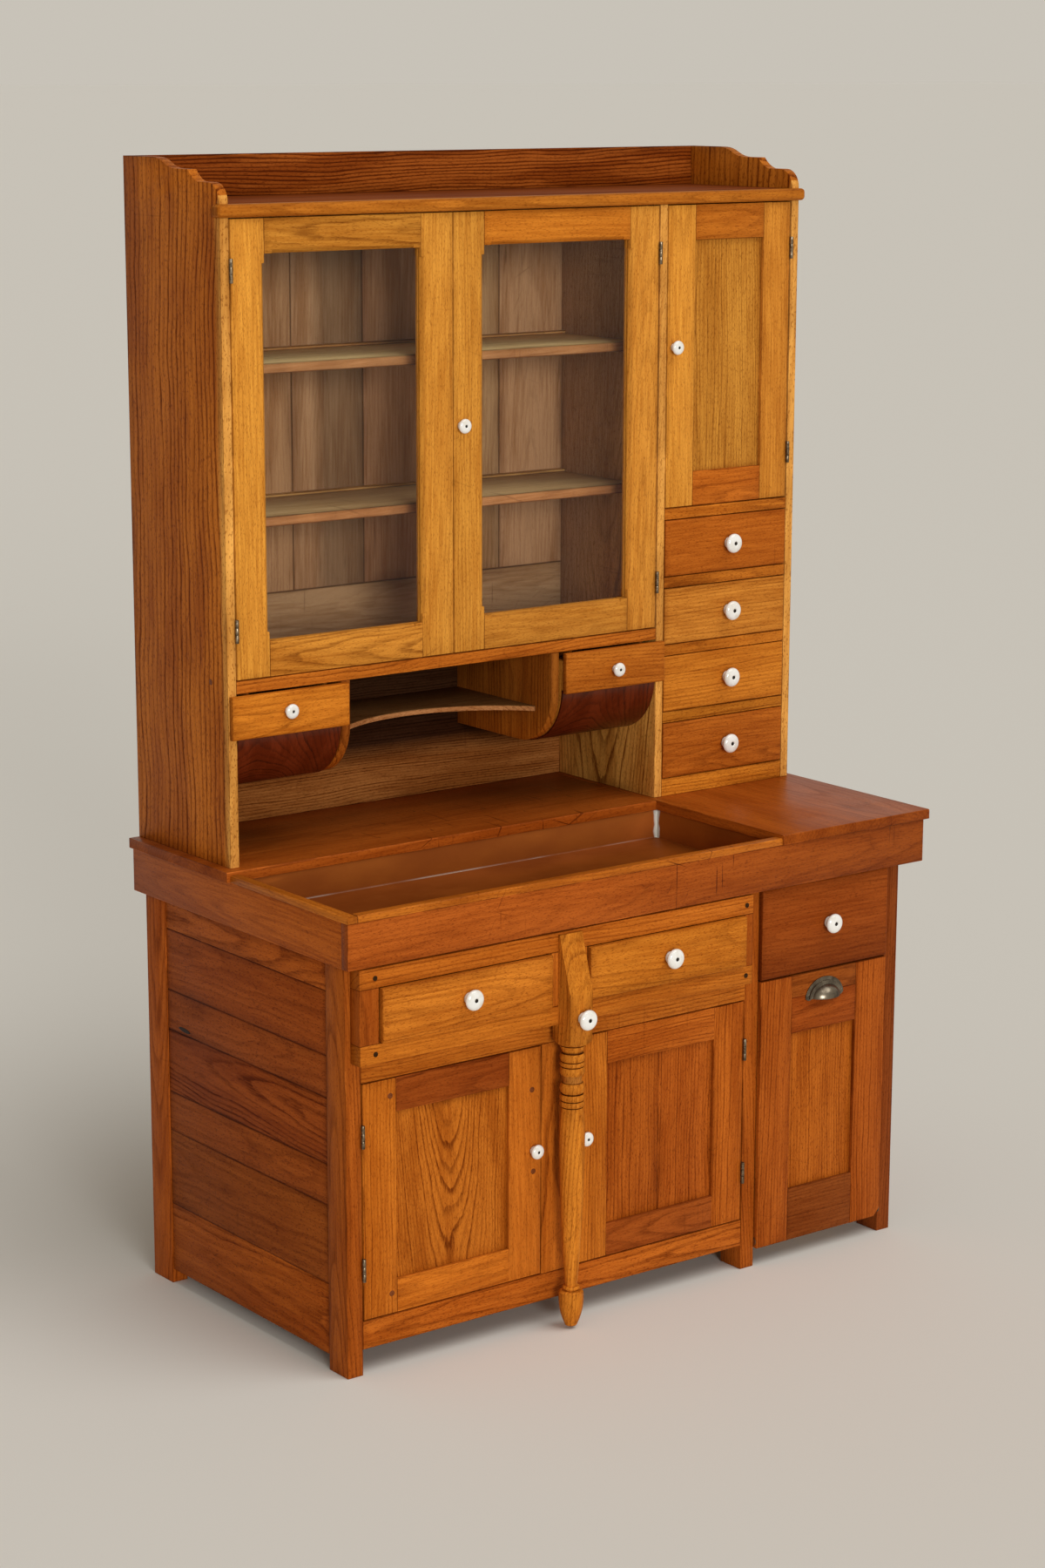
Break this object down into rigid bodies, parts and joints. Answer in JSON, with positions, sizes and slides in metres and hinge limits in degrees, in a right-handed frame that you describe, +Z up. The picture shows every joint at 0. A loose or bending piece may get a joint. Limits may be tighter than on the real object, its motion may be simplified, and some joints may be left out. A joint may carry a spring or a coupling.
{
  "type": "dry sink hutch",
  "caption": "Oak dry sink hutch with a glazed cupboard, hanging bins, a lined sink, a pull-out work table on a turned leg, drawers and a tilt-out flour bin.",
  "frame": {"origin": "on the floor, at the middle of the overall width and depth", "axes": "+X to the right seen from the front, +Y to the back, +Z up"},
  "size_m": [1.339, 0.752, 2.057],
  "materials": {
    "oak_hutch": "golden oiled oak, satin",
    "oak_base": "red-brown oiled oak, satin",
    "copper_liner": "aged copper sheet, polished",
    "porcelain": "white glaze",
    "steel_hinge": "dull worn steel",
    "antique_nickel": "aged nickel",
    "clear_glass": "clear"
  },
  "bodies": {
    "carcass": {"hutch_sides": "oak_hutch", "hutch_partition": "oak_hutch", "hutch_top_board": "oak_hutch", "hutch_back_boards": "oak_hutch", "cupboard_shelves": "oak_hutch", "spice_rails": "oak_hutch", "bin_brackets": "oak_hutch", "niche_shelf": "oak_hutch", "base_posts": "oak_base", "end_panels": "oak_base", "base_front_rails": "oak_base", "base_back_boards": "oak_base", "base_inner_boards": "oak_base", "base_runners": "oak_base", "sink_box": "oak_base", "sink_liner": "copper_liner", "sink_rim": "oak_base", "counter_boards": "oak_base", "hinge_leaves": "steel_hinge", "bin_pivot_pins": "steel_hinge"},
    "work_table": {"table_frame": "oak_base", "table_leg": "oak_base", "table_leg_knob": "porcelain", "table_screws": "steel_hinge"},
    "table_drawer_left": {"table_drawer_left": "oak_base", "table_drawer_left_knob": "porcelain"},
    "table_drawer_right": {"table_drawer_right": "oak_base", "table_drawer_right_knob": "porcelain"},
    "big_drawer": {"big_drawer": "oak_base", "big_drawer_knob": "porcelain"},
    "flour_bin": {"flour_bin": "oak_base", "bin_cup_pull": "antique_nickel"},
    "base_door_left": {"base_door_left": "oak_base", "base_door_left_hinges": "steel_hinge", "base_door_left_knob": "porcelain"},
    "base_door_right": {"base_door_right": "oak_base", "base_door_right_hinges": "steel_hinge", "base_door_right_knob": "porcelain"},
    "glass_door_left": {"glass_door_left": "oak_hutch", "glass_door_left_pane": "clear_glass", "glass_door_left_hinges": "steel_hinge"},
    "glass_door_right": {"glass_door_right": "oak_hutch", "glass_door_right_pane": "clear_glass", "glass_door_right_hinges": "steel_hinge", "glass_door_right_knob": "porcelain"},
    "spice_door": {"spice_door": "oak_hutch", "spice_door_hinges": "steel_hinge", "spice_door_knob": "porcelain"},
    "bin_left": {"bin_left": "oak_hutch", "bin_left_knob": "porcelain"},
    "bin_right": {"bin_right": "oak_hutch", "bin_right_knob": "porcelain"},
    "spice_drawer_1": {"spice_drawer_1": "oak_hutch", "spice_drawer_1_knob": "porcelain"},
    "spice_drawer_2": {"spice_drawer_2": "oak_hutch", "spice_drawer_2_knob": "porcelain"},
    "spice_drawer_3": {"spice_drawer_3": "oak_hutch", "spice_drawer_3_knob": "porcelain"},
    "spice_drawer_4": {"spice_drawer_4": "oak_hutch", "spice_drawer_4_knob": "porcelain"}
  },
  "joints": [
    {"name": "work_table_slide", "type": "slide", "parent": "carcass", "child": "work_table", "axis": [0, -1, 0], "range_m": [0, 0.4]},
    {"name": "table_drawer_left_slide", "type": "slide", "parent": "work_table", "child": "table_drawer_left", "axis": [0, -1, 0], "range_m": [0, 0.28]},
    {"name": "table_drawer_right_slide", "type": "slide", "parent": "work_table", "child": "table_drawer_right", "axis": [0, -1, 0], "range_m": [0, 0.28]},
    {"name": "big_drawer_slide", "type": "slide", "parent": "carcass", "child": "big_drawer", "axis": [0, -1, 0], "range_m": [0, 0.32]},
    {"name": "base_door_left_hinge", "type": "hinge", "parent": "carcass", "child": "base_door_left", "pos_m": [-0.6152, -0.2927, 0], "axis": [0, 0, -1], "range_deg": [0, 100]},
    {"name": "base_door_right_hinge", "type": "hinge", "parent": "carcass", "child": "base_door_right", "pos_m": [0.2417, -0.2927, 0], "axis": [0, 0, 1], "range_deg": [0, 90]},
    {"name": "glass_door_left_hinge", "type": "hinge", "parent": "carcass", "child": "glass_door_left", "pos_m": [-0.6282, 0.0603, 0], "axis": [0, 0, -1], "range_deg": [0, 110]},
    {"name": "glass_door_right_hinge", "type": "hinge", "parent": "carcass", "child": "glass_door_right", "pos_m": [0.3102, 0.0603, 0], "axis": [0, 0, 1], "range_deg": [0, 90]},
    {"name": "spice_door_hinge", "type": "hinge", "parent": "carcass", "child": "spice_door", "pos_m": [0.6332, 0.0603, 0], "axis": [0, 0, 1], "range_deg": [0, 110]},
    {"name": "flour_bin_tilt", "type": "hinge", "parent": "carcass", "child": "flour_bin", "pos_m": [0, -0.286, 0.048], "axis": [1, 0, 0], "range_deg": [0, 32]},
    {"name": "bin_left_slide", "type": "slide", "parent": "carcass", "child": "bin_left", "axis": [0, -1, 0], "range_m": [0, 0.18]},
    {"name": "bin_right_slide", "type": "slide", "parent": "carcass", "child": "bin_right", "axis": [0, -1, 0], "range_m": [0, 0.18]},
    {"name": "spice_drawer_1_slide", "type": "slide", "parent": "carcass", "child": "spice_drawer_1", "axis": [0, -1, 0], "range_m": [0, 0.2]},
    {"name": "spice_drawer_2_slide", "type": "slide", "parent": "carcass", "child": "spice_drawer_2", "axis": [0, -1, 0], "range_m": [0, 0.2]},
    {"name": "spice_drawer_3_slide", "type": "slide", "parent": "carcass", "child": "spice_drawer_3", "axis": [0, -1, 0], "range_m": [0, 0.2]},
    {"name": "spice_drawer_4_slide", "type": "slide", "parent": "carcass", "child": "spice_drawer_4", "axis": [0, -1, 0], "range_m": [0, 0.2]}
  ]
}
